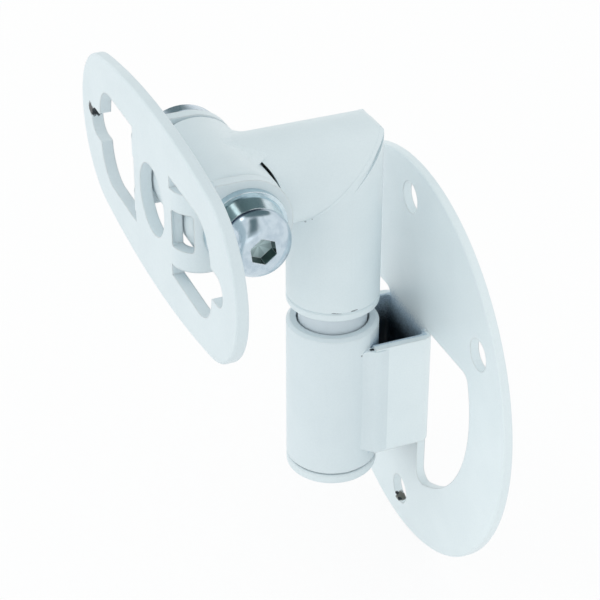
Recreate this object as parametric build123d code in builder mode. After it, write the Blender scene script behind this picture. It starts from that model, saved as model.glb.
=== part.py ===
import os
from math import cos, radians, sin, sqrt

from build123d import *

os.makedirs("parts", exist_ok=True)

# Speaker wall bracket, in millimetres.
# X runs along the wall, Y into the wall and Z up.
# The origin is the centre of the wall plate's back face.

# Tube stock, which sets the scale of the whole bracket
tube_r = 10.0
tube_wall = 2.0

# Wall plate
wall_r = 46.8
wall_t = 2.0
wall_edge = 0.4
screw_circle_r = 38.5
screw_r = 3.5
open_inner = 7.8
open_top = 11.5
open_r = 31.3
open_corner = 2.5
tab_bend = 1.0
tab_bottom = -17.5
tab_top = 9.6
tab_end_gap = 0.75
tab_lap = 1.0

# Upright pivot
pivot_y = -19.5
sleeve_r = tube_r
sleeve_bottom = -21.8
sleeve_top = 13.4
sleeve_chamfer = 0.75
mouth_gap = 0.35
mouth_depth = 2.0
bead_lap = 3.0
bead_run = 4.2
bead_proud = 0.3
bead_round = 3.4
bead_inset = 0.5
spindle_r = 7.45
journal_r = 5.0
running_gap = 0.05
ledge_height = 8.0
thrust_t = 1.0
seam_gap = 0.35
disc_t = 2.4
disc_edge = 0.8
screw_shank_r = 2.5
screw_head_r = 4.7
screw_length = 14.0
screw_hex = 3.0
screw_hex_depth = 1.2
screw_tip_room = 1.0

# Elbow
elbow_gap = 4.4
end_disc_t = 2.0
spigot_over = 1.0
end_seam = 0.3
arm_z = 49.8
mitre_weld_w = 1.4
mitre_weld_proud = 0.06
corner_cut = 2.0
corner_round = 1.6
step_depth = 0.8
step_w = 1.2

# Tilt knuckle
tilt_y = -45.6
barrel_r = 10.2
barrel_half = 13.4
barrel_edge = 2.4
barrel_far_edge = 1.2
knuckle_x = 0.8
saddle_gap = 0.6
knuckle_fillet = 7.0
weld_angle = 43.6
bolt_r = 4.0
bolt_gap = 0.075

# Front plate
plate_t = 2.5
plate_reach = 13.0
plate_edge = 0.5
oval_half_w = 47.1
oval_half_h = 20.2
oval_end_r = 17.6
centre_hole_r = 7.5
cut_outer = 33.8
cut_half_h = 10.9
cut_corner = 7.7
notch_half = 3.2
notch_centre = 36.8
notch_cusp = 0.6

# Ears
bend_r = 2.6
ear_half = 10.1
root_half = 8.4
root_reach = 7.0
window_half = 4.1
window_w = 5.3
window_shift = -0.45
window_angle = 38.0
window_round = 0.7
strip_lap = 1.0

# Clamp hardware
ear_gap = 0.4
washer_gap = 0.2
friction_r = 6.6
recess_gap = 0.3
recess_depth = 1.2
bore_gap = 0.25
washer_r = 8.4
washer_t = 1.6
collar_r = 7.7
collar_top_r = 6.8
collar_t = 3.7
head_r = 7.0
head_h = 4.8
head_seat_r = 6.0
head_groove = 0.45
head_rim = 0.85
head_flat_r = 3.9
head_hex = 5.0
head_hex_depth = 2.8
head_hex_turn = 37.5
bolt_length = 49.0
bolt_tip = 0.5
bulge_along = 0.68
bulge_across = 0.62
nut_af = 13.0
nut_turn = 6.0
nut_hex_t = 6.8
nut_t = 8.4
flange_r = 9.3
flange_t = 2.8
flange_edge = 0.4
nut_collar_r = 5.7
insert_r = 4.95
insert_t = 1.9

# Sizes that follow from the ones above
bore_r = spindle_r + running_gap
journal_bore_r = journal_r + running_gap
tab_inner = open_inner + tab_bend
tab_outer = tab_inner + wall_t
tab_touch = pivot_y + sqrt(sleeve_r**2 - tab_inner**2)
tab_front = tab_touch + tab_end_gap
ledge_top = sleeve_bottom + ledge_height
thrust_top = ledge_top + thrust_t
shoulder_z = thrust_top + running_gap
journal_end = sleeve_bottom - seam_gap
disc_bottom = journal_end - disc_t
end_disc_z = sleeve_top + elbow_gap
upright_z = end_disc_z + end_disc_t
bore_tube_r = tube_r - tube_wall
front_y = tilt_y - plate_reach
back_y = front_y + plate_t
barrel_near = knuckle_x + barrel_half
barrel_far = knuckle_x - barrel_half
fork_half = barrel_half + ear_gap
strip_half = fork_half - bend_r
near_bend = bend_r + knuckle_x
far_bend = bend_r - knuckle_x
near_out = strip_half + near_bend + plate_t
far_out = strip_half + far_bend + plate_t
ear_end = tilt_y + ear_half
root_end = front_y + root_reach
root_round = 0.4 * (ear_half - root_half)
washer_out = near_out + washer_t
nut_face = -far_out - washer_t
collar_out = washer_out + collar_t
head_out = collar_out + head_h
bolt_end = collar_out - bolt_length
head_seat = collar_out + head_groove
dome_start = head_seat + head_rim
hole_r = bolt_r + bore_gap
far = 2 * (arm_z + tube_r)

# Working planes and axes
pivot_plane = Plane(origin=(0, pivot_y, 0), x_dir=(1, 0, 0), z_dir=(0, -1, 0))
pivot_axis = Axis((0, pivot_y, 0), (0, 0, 1))
bolt_plane = Plane(origin=(0, tilt_y, arm_z), x_dir=(1, 0, 0), z_dir=(0, -1, 0))
bolt_axis = Axis((0, tilt_y, arm_z), (1, 0, 0))
mitre_plane = Plane(origin=(0, pivot_y, arm_z), x_dir=(1, 0, 0), z_dir=(0, -1, 1))
corner_plane = Plane(origin=(0, pivot_y, arm_z), x_dir=(1, 0, 0), z_dir=(0, 1, 1))
corner_far = tube_r * sqrt(2) - corner_cut
corner_axis = Axis((0, pivot_y, arm_z), (0, 1, 1))


# Tab folded forward from the inner edge of an opening in the wall plate
with BuildPart() as tab:
    with BuildSketch(Plane.XY.offset(tab_bottom)):
        with BuildLine():
            Line((open_inner - tab_lap, 0), (open_inner, 0))
            CenterArc((open_inner, -wall_t - tab_bend), wall_t + tab_bend, 90, -90)
            Line((tab_outer, -wall_t - tab_bend), (tab_outer, tab_front))
            Line((tab_outer, tab_front), (tab_inner, tab_front))
            Line((tab_inner, tab_front), (tab_inner, -wall_t - tab_bend))
            CenterArc((open_inner, -wall_t - tab_bend), tab_bend, 0, 90)
            Line((open_inner, -wall_t), (open_inner - tab_lap, -wall_t))
            Line((open_inner - tab_lap, -wall_t), (open_inner - tab_lap, 0))
        make_face()
    extrude(amount=tab_top - tab_bottom)

# One opening of the wall plate, beside the strip that carries the sleeve
with BuildSketch(Plane.XZ) as opening:
    Circle(open_r)
    with Locations((open_inner, open_top)):
        Rectangle(far, far, align=(Align.MIN, Align.MAX), mode=Mode.INTERSECT)
    fillet(opening.vertices(), radius=open_corner)

with BuildPart() as wall_plate:
    with BuildSketch(Plane.XZ):
        Circle(wall_r)
    extrude(amount=wall_t)
    fillet(wall_plate.edges().filter_by(GeomType.CIRCLE), radius=wall_edge)
    with BuildSketch(Plane.XZ):
        add(opening.sketch_local)
        mirror(opening.sketch_local, about=Plane.YZ)
        with PolarLocations(screw_circle_r, 3, start_angle=30):
            Circle(screw_r)
        with Locations((0, screw_circle_r)):
            Circle(screw_r)
    extrude(amount=wall_t, mode=Mode.SUBTRACT)
    add(tab.part)
    mirror(tab.part, about=Plane.YZ)
wall_plate.part.label = "wall_plate"
export_step(wall_plate.part, "parts/wall_plate.step")

with BuildPart() as pivot_sleeve:
    with BuildSketch(pivot_plane):
        with BuildLine():
            Polyline(
                (journal_bore_r, sleeve_bottom),
                (sleeve_r - seam_gap, sleeve_bottom),
                (sleeve_r, sleeve_bottom + seam_gap),
                (sleeve_r, sleeve_top - sleeve_chamfer),
                (sleeve_r - sleeve_chamfer, sleeve_top),
                (bore_r + mouth_gap, sleeve_top),
                (bore_r + mouth_gap, sleeve_top - mouth_depth),
                (bore_r, sleeve_top - mouth_depth),
                (bore_r, ledge_top),
                (journal_bore_r, ledge_top),
                close=True,
            )
        make_face()
    revolve(axis=pivot_axis)
pivot_sleeve.part.label = "pivot_sleeve"
export_step(pivot_sleeve.part, "parts/pivot_sleeve.step")

# Weld bead from the outside of a tab round its front end, running out smoothly on the sleeve
bead_back = tab_front + bead_lap
bead_front = tab_front - bead_run
toe_y = bead_front - pivot_y
toe_x = sqrt((sleeve_r - bead_proud) ** 2 - toe_y**2)
bead_bottom = tab_bottom + bead_inset
bead_top = tab_top - bead_inset
with BuildPart() as bead:
    with BuildSketch(Plane.XY.offset(bead_bottom)):
        with BuildLine():
            Spline(
                (tab_outer, bead_back),
                (tab_outer + bead_proud, tab_front + bead_lap / 2),
                (tab_outer + bead_proud / 2, tab_front),
                (toe_x, bead_front),
                tangents=((bead_proud, -bead_lap / 2), (toe_y, -toe_x)),
            )
            Line((toe_x, bead_front), (tab_inner, bead_front))
            Line((tab_inner, bead_front), (tab_inner, tab_front))
            Line((tab_inner, tab_front), (tab_outer, tab_front))
            Line((tab_outer, tab_front), (tab_outer, bead_back))
        make_face()
        with Locations((0, pivot_y)):
            Circle(sleeve_r, mode=Mode.SUBTRACT)
    extrude(amount=bead_top - bead_bottom)
    with BuildSketch(Plane.YZ) as bead_side:
        with Locations((bead_front, bead_bottom)):
            Rectangle(bead_run + bead_lap, bead_top - bead_bottom, align=(Align.MIN, Align.MIN))
        fillet(bead_side.vertices().group_by(Axis.X)[0], radius=bead_round)
    extrude(amount=far, mode=Mode.INTERSECT)

with BuildPart() as sleeve_welds:
    add(bead.part)
    mirror(bead.part, about=Plane.YZ)
sleeve_welds.part.label = "sleeve_welds"
export_step(sleeve_welds.part, "parts/sleeve_welds.step")

with BuildPart() as thrust_washer:
    with BuildSketch(Plane.XY.offset(ledge_top)):
        with Locations((0, pivot_y)):
            Circle(spindle_r)
            Circle(journal_bore_r, mode=Mode.SUBTRACT)
    extrude(amount=thrust_t)
thrust_washer.part.label = "thrust_washer"
export_step(thrust_washer.part, "parts/thrust_washer.step")

with BuildPart() as spindle:
    with BuildSketch(pivot_plane):
        with BuildLine():
            Polyline(
                (0, journal_end + screw_length - disc_t + screw_tip_room),
                (screw_shank_r, journal_end + screw_length - disc_t),
                (screw_shank_r, journal_end),
                (journal_r, journal_end),
                (journal_r, shoulder_z),
                (spindle_r, shoulder_z),
                (spindle_r, end_disc_z),
                (journal_r, end_disc_z),
                (journal_r, upright_z + spigot_over),
                (0, upright_z + spigot_over),
                close=True,
            )
        make_face()
    revolve(axis=pivot_axis)
spindle.part.label = "spindle"
export_step(spindle.part, "parts/spindle.step")

head_depth = screw_head_r - screw_shank_r
with BuildPart() as retaining_disc:
    with BuildSketch(pivot_plane):
        with BuildLine():
            Polyline(
                (screw_shank_r, journal_end),
                (sleeve_r - seam_gap, journal_end),
                (sleeve_r, journal_end - seam_gap),
                (sleeve_r, disc_bottom),
                (screw_head_r, disc_bottom),
                (screw_shank_r, disc_bottom + head_depth),
                close=True,
            )
        make_face()
    revolve(axis=pivot_axis)
    fillet(retaining_disc.edges().group_by(Axis.Z)[0].sort_by(SortBy.RADIUS)[-1], radius=disc_edge)
retaining_disc.part.label = "retaining_disc"
export_step(retaining_disc.part, "parts/retaining_disc.step")

with BuildPart() as retaining_screw:
    with BuildSketch(pivot_plane):
        with BuildLine():
            Polyline(
                (0, disc_bottom),
                (screw_head_r, disc_bottom),
                (screw_shank_r, disc_bottom + head_depth),
                (screw_shank_r, disc_bottom + screw_length),
                (0, disc_bottom + screw_length),
                close=True,
            )
        make_face()
    revolve(axis=pivot_axis)
    with BuildSketch(Plane.XY.offset(disc_bottom)):
        with Locations((0, pivot_y)):
            RegularPolygon(screw_hex / 2, 6, major_radius=False)
    extrude(amount=screw_hex_depth, mode=Mode.SUBTRACT)
retaining_screw.part.label = "retaining_screw"
export_step(retaining_screw.part, "parts/retaining_screw.step")

with BuildPart() as elbow_end_disc:
    with BuildSketch(Plane.XY.offset(end_disc_z)):
        with Locations((0, pivot_y)):
            Circle(tube_r)
            Circle(journal_r, mode=Mode.SUBTRACT)
    extrude(amount=end_disc_t)
    fillet(elbow_end_disc.edges().group_by(Axis.Z)[0].sort_by(SortBy.RADIUS)[-1], radius=disc_edge)
    chamfer(elbow_end_disc.edges().group_by(Axis.Z)[-1].sort_by(SortBy.RADIUS)[-1], length=end_seam)
elbow_end_disc.part.label = "elbow_end_disc"
export_step(elbow_end_disc.part, "parts/elbow_end_disc.step")

# Shallow step that leaves the arm's mitred edge proud of the upright at the outer corner
with BuildPart() as step_cut:
    with BuildSketch(mitre_plane.offset(-step_w)):
        Rectangle(far, far)
    extrude(amount=step_w)
    with BuildSketch(Plane.XY):
        with Locations((0, pivot_y - step_depth)):
            Circle(tube_r)
    extrude(amount=2 * far, mode=Mode.SUBTRACT)

with BuildPart() as elbow_upright:
    with BuildSketch(Plane.XY.offset(upright_z)):
        with Locations((0, pivot_y)):
            Circle(tube_r)
            Circle(bore_tube_r, mode=Mode.SUBTRACT)
    extrude(amount=arm_z + 2 * tube_r - upright_z)
    chamfer(elbow_upright.edges().group_by(Axis.Z)[0].sort_by(SortBy.RADIUS)[-1], length=end_seam)
    with BuildSketch(mitre_plane.offset(-mitre_weld_w / 2)):
        Rectangle(far, far)
    extrude(amount=far, mode=Mode.SUBTRACT)
    with BuildSketch(corner_plane.offset(corner_far)):
        Rectangle(far, far)
    extrude(amount=far, mode=Mode.SUBTRACT)
    add(step_cut.part, mode=Mode.SUBTRACT)
elbow_upright.part.label = "elbow_upright"
export_step(elbow_upright.part, "parts/elbow_upright.step")

with BuildPart() as elbow_arm:
    with BuildSketch(Plane.XZ.offset(-pivot_y - 2 * tube_r)):
        with Locations((0, arm_z)):
            Circle(tube_r)
            Circle(bore_tube_r, mode=Mode.SUBTRACT)
    extrude(amount=pivot_y - tilt_y + 2 * tube_r)
    with BuildSketch(mitre_plane.offset(mitre_weld_w / 2)):
        Rectangle(far, far)
    extrude(amount=-far, mode=Mode.SUBTRACT)
    with BuildSketch(corner_plane.offset(corner_far)):
        Rectangle(far, far)
    extrude(amount=far, mode=Mode.SUBTRACT)
    fillet(elbow_arm.edges().filter_by(GeomType.ELLIPSE).sort_by(corner_axis)[-1], radius=corner_round)
    with BuildSketch(Plane.YZ.offset(-far / 2)):
        with Locations((tilt_y, arm_z)):
            Circle(barrel_r + saddle_gap)
    extrude(amount=far, mode=Mode.SUBTRACT)
elbow_arm.part.label = "elbow_arm"
export_step(elbow_arm.part, "parts/elbow_arm.step")

# The mitre's weld bead follows each tube for half its width
bead_r = tube_r + mitre_weld_proud
with BuildPart() as bead_upright:
    with BuildSketch(Plane.XY.offset(upright_z)):
        with Locations((0, pivot_y)):
            Circle(bead_r)
            Circle(bore_tube_r, mode=Mode.SUBTRACT)
    extrude(amount=arm_z + 2 * tube_r - upright_z)
    with BuildSketch(mitre_plane):
        Rectangle(far, far)
    extrude(amount=far, mode=Mode.SUBTRACT)
    with BuildSketch(mitre_plane.offset(-mitre_weld_w / 2)):
        Rectangle(far, far)
    extrude(amount=-far, mode=Mode.SUBTRACT)

with BuildPart() as bead_arm:
    with BuildSketch(Plane.XZ.offset(-pivot_y - 2 * tube_r)):
        with Locations((0, arm_z)):
            Circle(bead_r)
            Circle(bore_tube_r, mode=Mode.SUBTRACT)
    extrude(amount=pivot_y - tilt_y + 2 * tube_r)
    with BuildSketch(mitre_plane):
        Rectangle(far, far)
    extrude(amount=-far, mode=Mode.SUBTRACT)
    with BuildSketch(mitre_plane.offset(mitre_weld_w / 2)):
        Rectangle(far, far)
    extrude(amount=far, mode=Mode.SUBTRACT)

with BuildPart() as mitre_weld:
    add(bead_upright.part)
    add(bead_arm.part)
    with BuildSketch(corner_plane.offset(corner_far)):
        Rectangle(far, far)
    extrude(amount=far, mode=Mode.SUBTRACT)
    add(step_cut.part, mode=Mode.SUBTRACT)
mitre_weld.part.label = "mitre_weld"
export_step(mitre_weld.part, "parts/mitre_weld.step")

with BuildPart() as knuckle_barrel:
    with BuildSketch(Plane.YZ.offset(barrel_far)):
        with Locations((tilt_y, arm_z)):
            Circle(barrel_r)
    extrude(amount=2 * barrel_half)
    fillet(knuckle_barrel.edges().filter_by(GeomType.CIRCLE).sort_by(Axis.X)[-1], radius=barrel_edge)
    fillet(knuckle_barrel.edges().filter_by(GeomType.CIRCLE).sort_by(Axis.X)[0], radius=barrel_far_edge)
    with BuildSketch(Plane.YZ.offset(barrel_far)):
        with Locations((tilt_y, arm_z)):
            Circle(bolt_r + bolt_gap)
    extrude(amount=2 * barrel_half, mode=Mode.SUBTRACT)
    with BuildSketch(Plane.YZ.offset(barrel_far)):
        with Locations((tilt_y, arm_z)):
            Circle(friction_r + recess_gap)
    extrude(amount=recess_depth, mode=Mode.SUBTRACT)
    with BuildSketch(Plane.YZ.offset(barrel_near)):
        with Locations((tilt_y, arm_z)):
            Circle(friction_r + recess_gap)
    extrude(amount=-recess_depth, mode=Mode.SUBTRACT)
knuckle_barrel.part.label = "knuckle_barrel"
export_step(knuckle_barrel.part, "parts/knuckle_barrel.step")

# Arm's end as the weld meets it, and the point on the saddle where the weld stops
neck_y = tilt_y + barrel_r + 2 * knuckle_fillet
stop_x = tube_r * sin(radians(weld_angle))
stop_z = tube_r * cos(radians(weld_angle))
stop_y = sqrt(barrel_r**2 - stop_z**2)
stop_run = stop_x * stop_z / stop_y
stop_planes = [
    Plane(origin=(side * stop_x, tilt_y + stop_y, arm_z + stop_z), z_dir=(side * stop_z, stop_run, -stop_x))
    for side in (1, -1)
]
with BuildPart() as arm_end:
    with BuildSketch(Plane.XZ.offset(-neck_y)):
        with Locations((0, arm_z)):
            Circle(tube_r)
    extrude(amount=neck_y - tilt_y)
    with BuildSketch(Plane.YZ.offset(-far / 2)):
        with Locations((tilt_y, arm_z)):
            Circle(barrel_r + saddle_gap)
    extrude(amount=far, mode=Mode.SUBTRACT)
    with BuildSketch(Plane.XZ.offset(-neck_y)):
        with Locations((0, arm_z)):
            Circle(bore_tube_r)
    extrude(amount=neck_y - tilt_y)

# Fillet weld over the saddle's upper part, which leaves a slit open at each side
with BuildPart() as upper_weld:
    with BuildSketch(Plane.YZ.offset(-far / 2)):
        with Locations((tilt_y, arm_z)):
            Circle(barrel_r)
    extrude(amount=far)
    with BuildSketch(Plane.XZ.offset(-neck_y)):
        with Locations((0, arm_z)):
            Circle(tube_r)
    extrude(amount=neck_y - tilt_y)
    fillet(upper_weld.edges().filter_by(GeomType.BSPLINE), radius=knuckle_fillet)
    with BuildSketch(Plane.YZ.offset(-far / 2)):
        with Locations((tilt_y, arm_z)):
            Circle(barrel_r)
    extrude(amount=far, mode=Mode.SUBTRACT)
    add(arm_end.part, mode=Mode.SUBTRACT)
    with BuildSketch(Plane.XY.offset(arm_z)):
        Rectangle(4 * far, 4 * far)
    extrude(amount=-far, mode=Mode.SUBTRACT)
    with BuildSketch(*stop_planes):
        Rectangle(far, far)
    extrude(amount=far, mode=Mode.SUBTRACT)

with BuildPart() as knuckle_weld:
    add(upper_weld.part)
    mirror(upper_weld.part, about=Plane.XY.offset(arm_z))
knuckle_weld.part.label = "knuckle_weld"
export_step(knuckle_weld.part, "parts/knuckle_weld.step")

# Ear folded back from the strip of the front plate, drawn on the near side
punch_dir = (sin(radians(window_angle)), -cos(radians(window_angle)), 0)
punch_side = (cos(radians(window_angle)), sin(radians(window_angle)), 0)


def folded_ear(bend):
    bend_out = bend + plate_t
    bend_y = front_y + bend_out
    inner = strip_half + bend
    outer = inner + plate_t
    punch_plane = Plane(origin=(strip_half, bend_y, arm_z), x_dir=punch_side, z_dir=punch_dir)
    with BuildPart() as ear:
        with BuildSketch(Plane.XY.offset(arm_z - ear_half)):
            with BuildLine():
                Line((strip_half - strip_lap, front_y), (strip_half, front_y))
                CenterArc((strip_half, bend_y), bend_out, -90, 90)
                Line((outer, bend_y), (outer, ear_end))
                Line((outer, ear_end), (inner, ear_end))
                Line((inner, ear_end), (inner, bend_y))
                CenterArc((strip_half, bend_y), bend, 0, -90)
                Line((strip_half, back_y), (strip_half - strip_lap, back_y))
                Line((strip_half - strip_lap, back_y), (strip_half - strip_lap, front_y))
            make_face()
        extrude(amount=2 * ear_half)
        with BuildSketch(Plane.YZ) as ear_side:
            with Locations((root_end, arm_z)):
                Rectangle(far, 2 * root_half, align=(Align.MAX, Align.CENTER))
                Rectangle(tilt_y - root_end, 2 * ear_half, align=(Align.MIN, Align.CENTER))
            fillet(ear_side.vertices().group_by(Axis.X)[1], radius=root_round)
            with Locations((tilt_y, arm_z)):
                Circle(ear_half)
                Circle(hole_r, mode=Mode.SUBTRACT)
        extrude(amount=far, mode=Mode.INTERSECT)
        with BuildSketch(punch_plane):
            with Locations((window_shift, 0)):
                RectangleRounded(window_w, 2 * window_half, window_round)
        extrude(amount=2 * bend_out, mode=Mode.SUBTRACT)
    return ear.part


near_ear = folded_ear(near_bend)
far_ear = folded_ear(far_bend)

# One cut-out of the front plate with its screw notch
with BuildSketch(Plane.XZ) as cut_out:
    with Locations((strip_half, arm_z)):
        Rectangle(cut_outer - strip_half, 2 * cut_half_h, align=(Align.MIN, Align.CENTER))
    fillet(cut_out.vertices().group_by(Axis.X)[-1], radius=cut_corner)
    with Locations((cut_outer - 1, arm_z)):
        Rectangle(notch_centre - cut_outer + 1, 2 * notch_half, align=(Align.MIN, Align.CENTER))
    with Locations((notch_centre, arm_z)):
        Circle(notch_half)
    cusps = cut_out.vertices().filter_by_position(Axis.X, cut_outer - 0.5, cut_outer + 0.5)
    fillet(cusps, radius=notch_cusp)

side_r = ((oval_half_w - oval_end_r) ** 2 + oval_half_h**2 - oval_end_r**2) / (2 * (oval_half_h - oval_end_r))
meet_x = (oval_half_w - oval_end_r) * (1 + oval_end_r / (side_r - oval_end_r))
meet_z = oval_end_r * (side_r - oval_half_h) / (side_r - oval_end_r)
with BuildPart() as front_plate:
    with BuildSketch(Plane.XZ.offset(-back_y)):
        with BuildLine():
            ThreePointArc((-meet_x, arm_z + meet_z), (0, arm_z + oval_half_h), (meet_x, arm_z + meet_z))
            ThreePointArc((meet_x, arm_z + meet_z), (oval_half_w, arm_z), (meet_x, arm_z - meet_z))
            ThreePointArc((meet_x, arm_z - meet_z), (0, arm_z - oval_half_h), (-meet_x, arm_z - meet_z))
            ThreePointArc((-meet_x, arm_z - meet_z), (-oval_half_w, arm_z), (-meet_x, arm_z + meet_z))
        make_face()
    extrude(amount=plate_t)
    fillet(front_plate.faces().filter_by(Axis.Y).edges(), radius=plate_edge)
    with BuildSketch(Plane.XZ.offset(-back_y)):
        with Locations((0, arm_z)):
            Circle(centre_hole_r)
        add(cut_out.sketch_local)
        mirror(cut_out.sketch_local, about=Plane.YZ)
    extrude(amount=plate_t, mode=Mode.SUBTRACT)
    add(near_ear)
    mirror(far_ear, about=Plane.YZ)
front_plate.part.label = "front_plate"
export_step(front_plate.part, "parts/front_plate.step")

# Each friction washer sits in a recess of the barrel's end and bears on an ear
friction_t = ear_gap + recess_depth - washer_gap
with BuildPart() as friction_washers:
    with BuildSketch(Plane.YZ.offset(near_out - plate_t)):
        with Locations((tilt_y, arm_z)):
            Circle(friction_r)
            Circle(hole_r, mode=Mode.SUBTRACT)
    extrude(amount=-friction_t)
    with BuildSketch(Plane.YZ.offset(plate_t - far_out)):
        with Locations((tilt_y, arm_z)):
            Circle(friction_r)
            Circle(hole_r, mode=Mode.SUBTRACT)
    extrude(amount=friction_t)
friction_washers.part.label = "friction_washers"
export_step(friction_washers.part, "parts/friction_washers.step")

with BuildPart() as flat_washers:
    with BuildSketch(Plane.YZ.offset(near_out)):
        with Locations((tilt_y, arm_z)):
            Circle(washer_r)
            Circle(hole_r, mode=Mode.SUBTRACT)
    extrude(amount=washer_t)
    with BuildSketch(Plane.YZ.offset(-far_out)):
        with Locations((tilt_y, arm_z)):
            Circle(washer_r)
            Circle(hole_r, mode=Mode.SUBTRACT)
    extrude(amount=-washer_t)
flat_washers.part.label = "flat_washers"
export_step(flat_washers.part, "parts/flat_washers.step")

with BuildPart() as conical_washer:
    with BuildSketch(bolt_plane):
        with BuildLine():
            Polyline(
                (washer_out, hole_r),
                (washer_out, collar_r),
                (collar_out, collar_top_r),
                (collar_out, hole_r),
                close=True,
            )
        make_face()
    revolve(axis=bolt_axis)
conical_washer.part.label = "conical_washer"
export_step(conical_washer.part, "parts/conical_washer.step")

bulge_x = dome_start + bulge_along * (head_out - dome_start)
bulge_r = head_flat_r + bulge_across * (head_r - head_flat_r)
with BuildPart() as clamp_bolt:
    with BuildSketch(bolt_plane):
        with BuildLine():
            Polyline(
                (head_out, head_flat_r),
                (head_out, 0),
                (bolt_end, 0),
                (bolt_end, bolt_r - bolt_tip),
                (bolt_end + bolt_tip, bolt_r),
                (collar_out, bolt_r),
                (collar_out, head_seat_r),
                (head_seat, head_seat_r),
                (head_seat, head_r),
                (dome_start, head_r),
            )
            ThreePointArc(
                (dome_start, head_r),
                (bulge_x, bulge_r),
                (head_out, head_flat_r),
            )
        make_face()
    revolve(axis=bolt_axis)
    with BuildSketch(Plane.YZ.offset(head_out)):
        with Locations((tilt_y, arm_z)):
            RegularPolygon(head_hex / 2, 6, major_radius=False, rotation=head_hex_turn)
    extrude(amount=-head_hex_depth, mode=Mode.SUBTRACT)
clamp_bolt.part.label = "clamp_bolt"
export_step(clamp_bolt.part, "parts/clamp_bolt.step")

with BuildPart() as lock_nut:
    with BuildSketch(Plane.YZ.offset(nut_face)):
        with Locations((tilt_y, arm_z)):
            RegularPolygon(nut_af / 2, 6, major_radius=False, rotation=nut_turn)
    extrude(amount=-nut_hex_t)
    with BuildSketch(bolt_plane):
        with BuildLine():
            Polyline(
                (nut_face, 0),
                (nut_face, flange_r - flange_edge),
                (nut_face - flange_edge, flange_r),
                (nut_face - flange_t, flange_r),
                (nut_face - flange_t - flange_edge, flange_r - flange_edge),
                (nut_face - flange_t - flange_edge, nut_collar_r),
                (nut_face - nut_t, nut_collar_r),
                (nut_face - nut_t, 0),
                close=True,
            )
        make_face()
    revolve(axis=bolt_axis)
    with BuildSketch(Plane.YZ.offset(nut_face)):
        with Locations((tilt_y, arm_z)):
            Circle(bolt_r)
    extrude(amount=-nut_t, mode=Mode.SUBTRACT)
    with BuildSketch(Plane.YZ.offset(nut_face - nut_t)):
        with Locations((tilt_y, arm_z)):
            Circle(insert_r)
    extrude(amount=insert_t, mode=Mode.SUBTRACT)
lock_nut.part.label = "lock_nut"
export_step(lock_nut.part, "parts/lock_nut.step")

with BuildPart() as nut_insert:
    with BuildSketch(Plane.YZ.offset(nut_face - nut_t)):
        with Locations((tilt_y, arm_z)):
            Circle(insert_r)
            Circle(bolt_r, mode=Mode.SUBTRACT)
    extrude(amount=insert_t)
nut_insert.part.label = "nut_insert"
export_step(nut_insert.part, "parts/nut_insert.step")
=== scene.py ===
import math

import bpy
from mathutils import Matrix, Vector


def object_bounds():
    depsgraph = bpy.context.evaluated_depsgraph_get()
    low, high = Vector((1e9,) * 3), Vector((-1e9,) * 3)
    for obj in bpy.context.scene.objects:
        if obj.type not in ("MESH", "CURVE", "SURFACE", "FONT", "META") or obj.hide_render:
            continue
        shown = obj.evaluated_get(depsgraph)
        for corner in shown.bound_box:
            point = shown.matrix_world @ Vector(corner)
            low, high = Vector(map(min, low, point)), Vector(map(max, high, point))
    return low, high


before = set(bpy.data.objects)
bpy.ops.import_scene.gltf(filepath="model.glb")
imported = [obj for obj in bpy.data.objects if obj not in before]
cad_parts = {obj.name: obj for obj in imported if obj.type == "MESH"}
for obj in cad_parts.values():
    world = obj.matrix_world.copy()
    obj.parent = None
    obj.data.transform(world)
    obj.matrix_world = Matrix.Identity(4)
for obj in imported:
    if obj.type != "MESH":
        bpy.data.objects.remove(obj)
cad_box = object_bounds()

# All lengths and places are in metres, in the part's frame
MM = 0.001

# The bracket's axes: the upright pivot, and the tilt axis at the arm's height
PIVOT_Y = -0.0195
TILT_Y = -0.0456
ARM_Z = 0.0498

# Camera at the photograph's angle, in degrees
CAMERA_PLACE = (0.30864, -0.15437, 0.22806)
CAMERA_ELEVATION = 32.05
CAMERA_AZIMUTH = 67.58
CAMERA_LENS = 111.9
SENSOR_WIDTH = 36.0
CLIP_NEAR = 0.01
CLIP_FAR = 20.0

scene = bpy.context.scene
scene.view_settings.view_transform = "Standard"

cam_data = bpy.data.cameras.new("camera")
cam_data.lens = CAMERA_LENS
cam_data.sensor_width = SENSOR_WIDTH
cam_data.clip_start = CLIP_NEAR
cam_data.clip_end = CLIP_FAR
cam = bpy.data.objects.new("camera", cam_data)
cam.location = CAMERA_PLACE
cam.rotation_euler = (
    math.radians(90 - CAMERA_ELEVATION),
    0,
    math.radians(CAMERA_AZIMUTH),
)
scene.collection.objects.link(cam)
scene.camera = cam

# Sockets of a Mix node that mixes colours
MIX_SHARE = 0
MIX_FROM = 6
MIX_TO = 7
MIX_RESULT = 2


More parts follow.
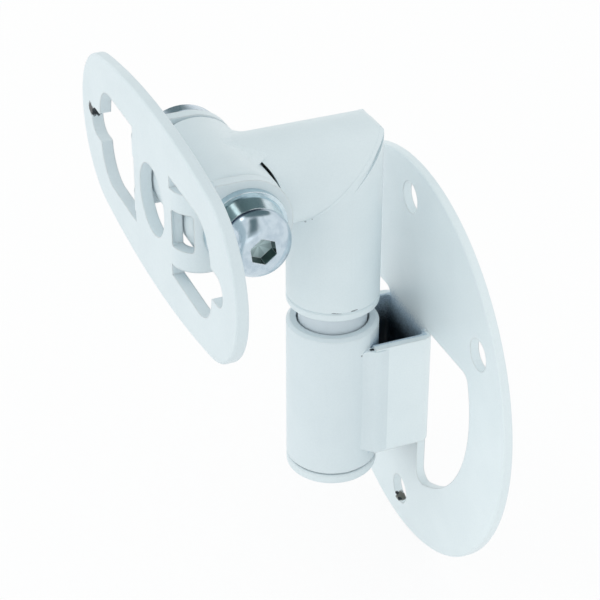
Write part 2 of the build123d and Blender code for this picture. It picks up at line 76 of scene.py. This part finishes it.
class Tree:
    """A node tree, with short calls for the nodes that materials, floor and world share."""

    def __init__(self, owner):
        owner.use_nodes = True
        self.nodes = owner.node_tree.nodes
        self.links = owner.node_tree.links

    def add(self, kind):
        return self.nodes.new("ShaderNode" + kind)

    def put(self, value, socket):
        """Link another node's output to a socket, or set a constant on it."""
        if isinstance(value, bpy.types.NodeSocket):
            self.links.new(value, socket)
        else:
            socket.default_value = value

    def math(self, op, a, b=0.0):
        n = self.add("Math")
        n.operation = op
        self.put(a, n.inputs[0])
        self.put(b, n.inputs[1])
        return n.outputs[0]

    def product(self, *values):
        result = values[0]
        for value in values[1:]:
            result = self.math("MULTIPLY", result, value)
        return result

    def vector(self, op, a, b):
        n = self.add("VectorMath")
        n.operation = op
        self.put(a, n.inputs[0])
        self.put(b, n.inputs[1])
        return n.outputs["Value" if op == "DOT_PRODUCT" else "Vector"]

    def axes(self, vector):
        n = self.add("SeparateXYZ")
        self.links.new(vector, n.inputs[0])
        return n.outputs

    def span(self, value, bounds, low=0.0, high=1.0):
        """A smooth step from low to high while the value goes from one bound to the other."""
        n = self.add("MapRange")
        n.interpolation_type = "SMOOTHSTEP"
        self.put(value, n.inputs["Value"])
        n.inputs["From Min"].default_value = bounds[0]
        n.inputs["From Max"].default_value = bounds[1]
        n.inputs["To Min"].default_value = low
        n.inputs["To Max"].default_value = high
        return n.outputs["Result"]

    def mix(self, share, a, b):
        n = self.add("Mix")
        n.data_type = "RGBA"
        self.put(share, n.inputs[MIX_SHARE])
        self.put(a, n.inputs[MIX_FROM])
        self.put(b, n.inputs[MIX_TO])
        return n.outputs[MIX_RESULT]

    def seen_ray(self, path):
        """1 for camera, glossy and transmission rays."""
        direct = self.math("MAXIMUM", path["Is Camera Ray"], path["Is Glossy Ray"])
        return self.math("MAXIMUM", direct, path["Is Transmission Ray"])

    def show(self, output, share, a, b):
        """Send two shaders, blended by a share, to a new output node."""
        n = self.add("MixShader")
        self.links.new(share, n.inputs[0])
        self.links.new(a.outputs[0], n.inputs[1])
        self.links.new(b.outputs[0], n.inputs[2])
        self.links.new(n.outputs[0], self.add(output).inputs["Surface"])


# Rounded edges: how far the normal turns, as a cosine, from an edge to a flat face
BEVEL_SAMPLES = 6
EDGE_TURN = (0.86, 0.985)


class Surface(Tree):
    """A material, with patterns that keep their place on the part."""

    def __init__(self, name):
        self.mat = bpy.data.materials.new(name)
        super().__init__(self.mat)
        self.shader = self.nodes["Principled BSDF"]
        self.place = self.add("TexCoord").outputs["Object"]

    def noise(self, scale, detail=2.0, rough=0.5):
        n = self.add("TexNoise")
        n.inputs["Scale"].default_value = scale
        n.inputs["Detail"].default_value = detail
        n.inputs["Roughness"].default_value = rough
        self.links.new(self.place, n.inputs["Vector"])
        return n.outputs["Fac"]

    def cells(self, scale):
        """Distance from the nearest cell's centre, and a number for each cell."""
        n = self.add("TexVoronoi")
        n.inputs["Scale"].default_value = scale
        self.links.new(self.place, n.inputs["Vector"])
        number = self.add("SeparateColor")
        self.links.new(n.outputs["Color"], number.inputs[0])
        return n.outputs["Distance"], number.outputs[0]

    def near(self, centre, stretch):
        """Distance from a point of the part, with each axis stretched."""
        away = self.vector("SUBTRACT", self.place, centre)
        n = self.add("VectorMath")
        n.operation = "LENGTH"
        self.links.new(self.vector("MULTIPLY", away, stretch), n.inputs[0])
        return n.outputs["Value"]

    def bump(self, height, strength, depth, under=None):
        n = self.add("Bump")
        n.inputs["Strength"].default_value = strength
        n.inputs["Distance"].default_value = depth
        self.links.new(height, n.inputs["Height"])
        if under:
            self.links.new(under, n.inputs["Normal"])
        return n.outputs["Normal"]

    def edges(self, radius):
        """Normal with rounded edges, and a share that is 1 at sharp outer and inner edges."""
        soft = self.add("Bevel")
        soft.samples = BEVEL_SAMPLES
        soft.inputs["Radius"].default_value = radius
        flat = self.add("NewGeometry")
        turn = self.vector("DOT_PRODUCT", soft.outputs[0], flat.outputs["Normal"])
        return soft.outputs[0], self.span(turn, EDGE_TURN, 1.0, 0.0)

    def end(self, colour, rough, normal, metal=0.0):
        self.put(colour, self.shader.inputs["Base Color"])
        self.put(rough, self.shader.inputs["Roughness"])
        self.put(metal, self.shader.inputs["Metallic"])
        self.links.new(normal, self.shader.inputs["Normal"])
        return self.mat


# Colours of the powder coat, its painted edge highlight, and of unpainted steel; the darkest
# steel colours also serve as painted shade in the pocket behind the sleeve and in the gap by the
# tab
COAT_LIGHT = (0.745, 0.822, 0.852, 1)
COAT_DARK = (0.705, 0.785, 0.817, 1)
COAT_EDGE_HIGHLIGHT = (0.85, 0.89, 0.90, 1)
PIT_DARK = (0.30, 0.34, 0.36, 1)
PIT_PALE = (0.42, 0.47, 0.50, 1)
SPECK_DARK = (0.20, 0.23, 0.25, 1)
BARE_STEEL_AND_SHADE = (0.008, 0.013, 0.018, 1)
BROWN_STEEL = (0.115, 0.120, 0.105, 1)
THIN_COAT_AND_SHADE = (0.62, 0.80, 0.95, 1)
POCKET_SHADE_STEEL = (0.012, 0.022, 0.033, 1)

# How much lighter or darker than the rest a part's coat or plating is
EVEN = (1.0, 1.0, 1.0)
# The wall plate's coat is made lighter as painted light, for the light that the arm and front
# plate keep from it
WALL_LIGHT_TINT = (1.075, 1.065, 1.06)
SPINDLE_TINT = (0.85, 0.85, 0.875)
SLEEVE_TINT = (0.97, 0.972, 0.978)
FRONT_TINT = (0.962, 0.968, 0.974)
BEAD_TINT = (1.022, 1.022, 1.022)
WASHER_TINT = (1.075, 1.105, 1.075)
COLLAR_TINT = (1.12, 1.12, 1.07)

# The coat's patterns: scale, detail and roughness of each noise
CLOUD = (90.0, 2.0)
GRAIN = (2600.0, 2.0, 0.6)
PEEL = (1500.0, 2.0, 0.55)
WAVE = (380.0, 1.0)
RIPPLE = (620.0, 2.0, 0.55)
GLOSS = (600.0, 2.0)
RAGGED = (1900.0, 3.0, 0.6)
NOISE_BAND = (0.3, 0.7)
CLOUD_SHARE = 0.55
GRAIN_SHARE = 0.45

# Strength and depth of the coat's bumps
PEEL_BUMP = (0.07, 0.10 * MM)
WAVE_BUMP = (0.04, 0.25 * MM)
PIT_BUMP = (0.5, 0.1 * MM)
RIPPLE_DEPTH = 0.6 * MM

# Pits in few of the cells, and the coat's rounded edges with their painted highlight, gloss and
# marks
PIT_CELLS = 240.0
PIT_CHANCE = (0.955, 0.965)
PIT_SIZE = (0.03, 0.075)
PIT_SHARE = 0.6
COAT_EDGE_R = 0.5 * MM
COAT_HIGHLIGHT_SHARE = 0.55
COAT_ROUGH = (0.38, 0.46)
MARK_CORE = 0.20
MARK_RIM = 0.55
THIN_BAND = (0.0, 0.35)


def tinted(colour, tint):
    return tuple(c * k for c, k in zip(colour, tint)) + (1,)


def powder_coat(name, marks=(), pocket_shade_and_steel=None, soft_edges=True, tint=EVEN, ripple=0.0):
    """Cool white powder coat: orange peel, faint tone changes, a painted highlight on edges,
    pits, and dark marks of which some are painted shade.

    A mark is (centre, stretch, size, colour). pocket_shade_and_steel(t) gives the share of
    painted shade, with unpainted steel, in the pocket where little powder reached. Beads, and
    pieces that join others flush, go without soft edges, which would draw lines where they meet.
    ripple is how strong a bead's ripple is.
    """
    t = Surface(name)
    cloud = t.span(t.noise(*CLOUD), NOISE_BAND, 0.0, CLOUD_SHARE)
    grain = t.span(t.noise(*GRAIN), NOISE_BAND, 0.0, GRAIN_SHARE)
    tone = t.math("ADD", cloud, grain)
    colour = t.mix(tone, tinted(COAT_DARK, tint), tinted(COAT_LIGHT, tint))
    round_normal = None
    if soft_edges:
        # Painted highlight: sharp edges get a paler colour, besides their rounded normal
        round_normal, edge = t.edges(COAT_EDGE_R)
        colour = t.mix(t.product(edge, COAT_HIGHLIGHT_SHARE), colour, COAT_EDGE_HIGHLIGHT)
    away, number = t.cells(PIT_CELLS)
    pick = t.span(number, PIT_CHANCE)
    pit = t.product(t.span(away, PIT_SIZE, PIT_SHARE, 0.0), pick)
    colour = t.mix(pit, colour, PIT_DARK)
    normal = t.bump(t.noise(*PEEL), *PEEL_BUMP, round_normal)
    normal = t.bump(t.noise(*WAVE), *WAVE_BUMP, normal)
    if ripple:
        normal = t.bump(t.noise(*RIPPLE), ripple, RIPPLE_DEPTH, normal)
    normal = t.bump(t.math("SUBTRACT", 1.0, pit), *PIT_BUMP, normal)
    rough = t.span(t.noise(*GLOSS), NOISE_BAND, *COAT_ROUGH)
    for centre, stretch, size, mark_colour in marks:
        ragged = t.product(t.noise(*RAGGED), size)
        away = t.math("SUBTRACT", t.near(centre, stretch), ragged)
        share = t.span(away, (MARK_CORE * size, MARK_RIM * size), 1.0, 0.0)
        colour = t.mix(share, colour, mark_colour)
    # Painted shade in the pocket, with unpainted steel: a pale fringe where the coat fades, then
    # nearly black lower down
    if pocket_shade_and_steel:
        shade_and_steel = pocket_shade_and_steel(t)
        colour = t.mix(t.span(shade_and_steel, THIN_BAND), colour, THIN_COAT_AND_SHADE)
        colour = t.mix(shade_and_steel, colour, POCKET_SHADE_STEEL)
    return t.end(colour, rough, normal)


# The pocket behind the sleeve: where its painted shade and unpainted steel begin and end on each
# side
POCKET_TOP = (2.2 * MM, 13.0 * MM)
POCKET_BOTTOM = (-19.5 * MM, -14.5 * MM)
POCKET_SIDE = (9.1 * MM, 9.7 * MM)
POCKET_FRONT = (-14.7 * MM, -14.2 * MM)
POCKET_BACK = (-1.6 * MM, -1.2 * MM)
POCKET_GRAIN = (2800.0, 3.0, 0.7)
POCKET_RAGGED = 6.0 * MM


def pocket(t):
    """Painted shade, with unpainted steel, in the pocket between the tabs, the wall plate and
    the sleeve's back.
    """
    x, y, z = t.axes(t.place)
    grain = t.math("SUBTRACT", t.noise(*POCKET_GRAIN), 0.5)
    height = t.math("ADD", z, t.product(grain, POCKET_RAGGED))
    top = t.span(height, POCKET_TOP, 1.0, 0.0)
    bottom = t.span(height, POCKET_BOTTOM)
    side = t.span(t.math("ABSOLUTE", x), POCKET_SIDE, 1.0, 0.0)
    front = t.span(y, POCKET_FRONT)
    back = t.span(y, POCKET_BACK, 1.0, 0.0)
    return t.product(top, bottom, side, front, back)


# Colours of the zinc plating and its painted edge highlight, the painted shade and light in the
# bolt's socket, the painted shade in its undercut, and the painted dark reflection on the collar
ZINC_LIGHT = (0.58, 0.68, 0.75, 1)
ZINC_DARK = (0.49, 0.59, 0.67, 1)
ZINC_EDGE_HIGHLIGHT = (0.90, 0.94, 0.97, 1)
SOCKET_WALL_SHADE = (0.060, 0.095, 0.088, 1)
SOCKET_FACET_LIT = (0.74, 0.93, 0.95, 1)
SOCKET_FACET_SHADED = (0.56, 0.73, 0.75, 1)
UNDERCUT_SHADE = (0.020, 0.040, 0.085, 1)
ZINC_DARK_REFLECTION = (0.19, 0.28, 0.29, 1)

# The plating's patterns, bumps, rounded edges with their painted highlight, and gloss
RING_SCALE = 26000.0
BLOTCH = (520.0, 3.0, 0.6)
SCRATCH = (4200.0, 2.0)
BLOTCH_BAND = (0.35, 0.7)
BLOTCH_GLOSS_BAND = (0.3, 0.75)
ZINC_ROUGH = (0.16, 0.25)
RING_BUMP = (0.03, 0.02 * MM)
SCRATCH_BUMP = (0.08, 0.02 * MM)
ZINC_EDGE_R = 0.25 * MM
ZINC_HIGHLIGHT_SHARE = 0.75

# The clamp bolt's hex socket, from its axis and along X, and the facets of its floor
SOCKET_R = (2.95 * MM, 3.10 * MM)
SOCKET_TOP_X = (26.85 * MM, 27.05 * MM)
SOCKET_WALL_X = (24.45 * MM, 24.55 * MM)
SOCKET_FLOOR_X = (24.1 * MM, 24.3 * MM)
SOCKET_SIDES = 6.0
FACET_BAND = (-0.4, 0.4)

# Where the undercut below the bolt's head gets painted shade, along X, upwards and to the front,
# and the side where the collar's painted dark reflection lies
UNDERCUT_LOW_X = (22.2 * MM, 22.3 * MM)
UNDERCUT_HIGH_X = (23.1 * MM, 23.9 * MM)
UNDERCUT_UP = (-1.0 * MM, 2.0 * MM)
UNDERCUT_FRONT = (-1.0 * MM, 4.5 * MM)
REFLECTION_FRONT = (-4.5 * MM, 1.0 * MM)
REFLECTION_SHARE = 0.92


def zinc(name, axis="bolt", head=False, dark_reflection=False, tint=EVEN):
    """Bright zinc plate with turning marks round the axis, faint blotches and fine scratches.

    With head, the hex socket's walls get painted shade and its floor's facets painted light and
    shade, and the undercut below the bolt's head gets painted shade on its upper front side.
    With dark_reflection, a painted dark reflection darkens it towards the front plate.
    """
    t = Surface(name)
    x, y, z = t.axes(t.place)
    if axis == "bolt":
        u = t.math("SUBTRACT", y, TILT_Y)
        v = t.math("SUBTRACT", z, ARM_Z)
        along = x
    else:
        u = x
        v = t.math("SUBTRACT", y, PIVOT_Y)
        along = z
    r = t.math("SQRT", t.math("ADD", t.product(u, u), t.product(v, v)))
    rings = t.math("SINE", t.product(t.math("ADD", r, along), RING_SCALE))
    blotch = t.noise(*BLOTCH)
    blotch_share = t.span(blotch, BLOTCH_BAND)
    colour = t.mix(blotch_share, tinted(ZINC_LIGHT, tint), tinted(ZINC_DARK, tint))
    rough = t.span(blotch, BLOTCH_GLOSS_BAND, *ZINC_ROUGH)
    metal = 1.0
    if head:
        # Painted shade on the socket's walls, and painted light and shade on its floor's facets
        inside = t.span(r, SOCKET_R, 1.0, 0.0)
        deep = t.span(along, SOCKET_TOP_X, 1.0, 0.0)
        wall = t.span(along, SOCKET_WALL_X)
        colour = t.mix(t.product(inside, deep, wall), colour, SOCKET_WALL_SHADE)
        bottom = t.span(along, SOCKET_FLOOR_X)
        socket_floor = t.product(inside, bottom, t.math("SUBTRACT", 1.0, wall))
        facet = t.math("SINE", t.product(t.math("ARCTAN2", v, u), SOCKET_SIDES))
        facet_light_and_shade = t.mix(t.span(facet, FACET_BAND), SOCKET_FACET_SHADED, SOCKET_FACET_LIT)
        colour = t.mix(socket_floor, colour, facet_light_and_shade)
        metal = t.span(socket_floor, (0.0, 1.0), 1.0, 0.0)
        # Painted shade in the undercut below the head, on its upper front side
        low = t.span(along, UNDERCUT_LOW_X)
        high = t.span(along, UNDERCUT_HIGH_X, 1.0, 0.0)
        upper = t.span(v, UNDERCUT_UP)
        front = t.span(u, UNDERCUT_FRONT, 1.0, 0.0)
        colour = t.mix(t.product(low, high, upper, front), colour, UNDERCUT_SHADE)
    if dark_reflection:
        # Painted reflection: darker towards the front plate, whose shaded back the collar
        # mirrors
        colour = t.mix(t.span(u, REFLECTION_FRONT, REFLECTION_SHARE, 0.0), colour, ZINC_DARK_REFLECTION)
    # Painted highlight: sharp edges get a paler colour, besides their rounded normal
    round_normal, edge = t.edges(ZINC_EDGE_R)
    colour = t.mix(t.product(edge, ZINC_HIGHLIGHT_SHARE), colour, ZINC_EDGE_HIGHLIGHT)
    normal = t.bump(rings, *RING_BUMP, round_normal)
    normal = t.bump(t.noise(*SCRATCH), *SCRATCH_BUMP, normal)
    return t.end(colour, rough, normal, metal)


NYLON_DARK = (0.66, 0.66, 0.61, 1)
NYLON_LIGHT = (0.74, 0.74, 0.69, 1)
NYLON_MOTTLE = (700.0, 3.0)
NYLON_ROUGH = (0.42, 0.55)
NYLON_GRAIN = (2600.0,)
NYLON_BUMP = (0.1, 0.03 * MM)
NYLON_DEPTH = (1.0 * MM, 1.0 * MM, 0.8 * MM)
NYLON_SCATTER = 0.15


def nylon(name):
    """Natural nylon: slightly yellow, waxy, with faint moulding mottle."""
    t = Surface(name)
    tone = t.noise(*NYLON_MOTTLE)
    colour = t.mix(tone, NYLON_DARK, NYLON_LIGHT)
    rough = t.span(tone, NOISE_BAND, *NYLON_ROUGH)
    normal = t.bump(t.noise(*NYLON_GRAIN), *NYLON_BUMP)
    t.shader.inputs["Subsurface Weight"].default_value = NYLON_SCATTER
    t.shader.inputs["Subsurface Radius"].default_value = NYLON_DEPTH
    return t.end(colour, rough, normal)


# Marks on the coat, each (centre, stretch, size, colour)
ROUND = (1.0, 1.0, 1.0)
LONG = (0.6, 0.6, 2.2)
HOLE_MARKS = [
    ((-0.0011, -0.0010, -0.0418), (0.9, 1.0, 1.0), 0.0014, BROWN_STEEL),
    ((-0.0005, -0.0017, -0.0420), ROUND, 0.0006, BARE_STEEL_AND_SHADE),
    ((-0.0020, -0.0016, -0.0413), ROUND, 0.0005, BARE_STEEL_AND_SHADE),
]
NOTCH_MARKS = [
    ((-0.0407, -0.0586, 0.0514), (0.9, 1.0, 0.8), 0.0013, BARE_STEEL_AND_SHADE),
    ((-0.0396, -0.0575, 0.0513), (1.0, 0.8, 0.8), 0.0014, BARE_STEEL_AND_SHADE),
    ((-0.0399, -0.0572, 0.0505), (1.0, 0.8, 1.0), 0.0008, BARE_STEEL_AND_SHADE),
]
SEAM_PITS = [
    ((0.00926, -0.02325, 0.0201), LONG, 0.00036, SPECK_DARK),
    ((0.00945, -0.02260, 0.0200), LONG, 0.00042, SPECK_DARK),
    ((0.00962, -0.02200, 0.0200), LONG, 0.00028, SPECK_DARK),
    ((0.00998, -0.01915, 0.0202), LONG, 0.00040, SPECK_DARK),
    ((0.00995, -0.01855, 0.0203), LONG, 0.00028, SPECK_DARK),
]
MITRE_PITS = [
    ((0.00523, -0.02809, 0.0412), ROUND, 0.00036, PIT_PALE),
    ((0.00657, -0.02712, 0.0421), ROUND, 0.00020, PIT_PALE),
]
# Painted shade: a dark mark in the gap where the tab's top edge meets the sleeve
TAB_GAP_SHADE = [((0.00955, -0.01445, 0.0091), (1.0, 0.8, 2.0), 0.00050, BARE_STEEL_AND_SHADE)]
SLEEVE_PITS = [((0.00962, -0.01677, 0.0081), ROUND, 0.00026, PIT_DARK)]
BEAD_RIPPLE = 0.60

coat = powder_coat("white_coat")
coat_elbow = powder_coat("white_coat_elbow", SEAM_PITS, soft_edges=False)
coat_tube = powder_coat("white_coat_tube", soft_edges=False)
coat_mitre = powder_coat("white_coat_mitre", MITRE_PITS, soft_edges=False)
coat_bead = powder_coat("white_coat_bead", soft_edges=False, tint=BEAD_TINT, ripple=BEAD_RIPPLE)
coat_tab_bead = powder_coat("white_coat_tab_bead", TAB_GAP_SHADE, soft_edges=False, tint=SLEEVE_TINT)
coat_spindle = powder_coat("white_coat_spindle", tint=SPINDLE_TINT)
coat_wall = powder_coat("white_coat_wall", HOLE_MARKS, pocket, tint=WALL_LIGHT_TINT)
coat_sleeve = powder_coat("white_coat_sleeve", SLEEVE_PITS, pocket, tint=SLEEVE_TINT)
coat_front = powder_coat("white_coat_front", NOTCH_MARKS, tint=FRONT_TINT)
zinc_bolt = zinc("zinc_bolt", head=True)
zinc_plain = zinc("zinc_plain")
zinc_washer = zinc("zinc_washer", tint=WASHER_TINT)
zinc_collar = zinc("zinc_collar", dark_reflection=True, tint=COLLAR_TINT)
zinc_pivot = zinc("zinc_pivot", "pivot")
plain_nylon = nylon("nylon")

# The pieces that aren't named here have the plain coat
MATERIAL_OF = {
    "wall_plate": coat_wall,
    "front_plate": coat_front,
    "pivot_sleeve": coat_sleeve,
    "elbow_upright": coat_elbow,
    "elbow_end_disc": coat_elbow,
    "elbow_arm": coat_tube,
    "spindle": coat_spindle,
    "sleeve_welds": coat_tab_bead,
    "mitre_weld": coat_mitre,
    "knuckle_weld": coat_bead,
    "retaining_screw": zinc_pivot,
    "flat_washers": zinc_washer,
    "conical_washer": zinc_collar,
    "clamp_bolt": zinc_bolt,
    "lock_nut": zinc_plain,
    "thrust_washer": plain_nylon,
    "friction_washers": plain_nylon,
    "nut_insert": plain_nylon,
}
for name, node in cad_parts.items():
    node.data.materials.clear()
    node.data.materials.append(MATERIAL_OF.get(name, coat))

# Floor, nearly white to the camera and in reflections, that still keeps a soft shadow
FLOOR_Z = cad_box[0].z - 0.2 * MM
FLOOR_HALF = 3.0
FLOOR_COLOUR = (0.96, 0.96, 0.96, 1)
FLOOR_GLOW = 0.88

floor_mesh = bpy.data.meshes.new("floor")
corners = ((-1, -1), (1, -1), (1, 1), (-1, 1))
floor_mesh.from_pydata(
    [(sx * FLOOR_HALF, sy * FLOOR_HALF, FLOOR_Z) for sx, sy in corners],
    [],
    [(0, 1, 2, 3)],
)
floor = bpy.data.objects.new("floor", floor_mesh)
scene.collection.objects.link(floor)

floor_mat = bpy.data.materials.new("floor")
floor_mesh.materials.append(floor_mat)
ground = Tree(floor_mat)
ground.nodes.clear()
matt = ground.add("BsdfDiffuse")
matt.inputs["Color"].default_value = FLOOR_COLOUR
glow = ground.add("Emission")
floor_share = ground.product(ground.seen_ray(ground.add("LightPath").outputs), FLOOR_GLOW)
ground.show("OutputMaterial", floor_share, matt, glow)

# World: an even pale dome, white to the camera and in reflections
DOME_COLOUR = (0.97, 1.0, 1.0, 1)
DOME_STRENGTH = 0.92
WHITE = (1, 1, 1, 1)

# The unlit parts of the studio, which only reflections show, with their angles in degrees
UNLIT = (0.14, 0.20, 0.21, 1)
PATCH_CENTRE = (-0.57, 0.26, 0.78)
PATCH_INNER = 27.0
PATCH_OUTER = 34.0
STRIP_ACROSS = (0.10, 0.995, 0.0)
STRIP_INNER = 8.0
STRIP_OUTER = 16.0
STRIP_LOW = 4.0
STRIP_HIGH = 14.0

world = bpy.data.worlds.new("studio")
scene.world = world
sky = Tree(world)
sky.nodes.clear()
towards = sky.add("TexCoord").outputs["Generated"]


def sines(*angles):
    return tuple(math.sin(math.radians(a)) for a in angles)


def dark_patch(centre, inner, outer):
    """1 in the directions within a cone round centre, and 0 outside it."""
    turn = sky.vector("DOT_PRODUCT", towards, Vector(centre).normalized())
    return sky.span(turn, (math.cos(math.radians(outer)), math.cos(math.radians(inner))))


def dark_strip(across, inner, outer, low, high):
    """1 in an overhead strip square to across, above an elevation and on the +X side."""
    side = sky.math("ABSOLUTE", sky.vector("DOT_PRODUCT", towards, across))
    ends = sky.axes(towards)
    return sky.product(
        sky.span(side, sines(outer, inner)),
        sky.span(ends["Z"], sines(low, high)),
        sky.span(ends["X"], sines(-outer, inner)),
    )


path = sky.add("LightPath").outputs
unlit = sky.math(
    "MAXIMUM",
    dark_patch(PATCH_CENTRE, PATCH_INNER, PATCH_OUTER),
    dark_strip(STRIP_ACROSS, STRIP_INNER, STRIP_OUTER, STRIP_LOW, STRIP_HIGH),
)
dome = sky.add("Background")
dome.inputs["Color"].default_value = DOME_COLOUR
dome.inputs["Strength"].default_value = DOME_STRENGTH
white = sky.add("Background")
white.inputs["Strength"].default_value = 1.0
mirrored = sky.product(unlit, path["Is Glossy Ray"])
sky.links.new(sky.mix(mirrored, WHITE, UNLIT), white.inputs["Color"])
sky.show("OutputWorld", sky.seen_ray(path), dome, white)

# Soft studio lamps, aimed at the bracket's middle
AIM = Vector((0, -0.03, 0.02))


def softbox(name, place, size, power):
    """A rectangular lamp: its width and height in metres and its power in watts."""
    data = bpy.data.lights.new(name, "AREA")
    data.shape = "RECTANGLE"
    data.size, data.size_y = size
    data.energy = power
    lamp = bpy.data.objects.new(name, data)
    lamp.location = place
    lamp.rotation_euler = (AIM - Vector(place)).to_track_quat("-Z", "Y").to_euler()
    scene.collection.objects.link(lamp)


softbox("key", place=(-0.30, -0.95, 0.10), size=(1.2, 0.8), power=1.8)
softbox("fill", place=(0.90, -0.25, 0.15), size=(0.8, 0.6), power=0.4)
softbox("spark", place=(-0.48, -0.48, 0.95), size=(0.26, 0.26), power=0.36)
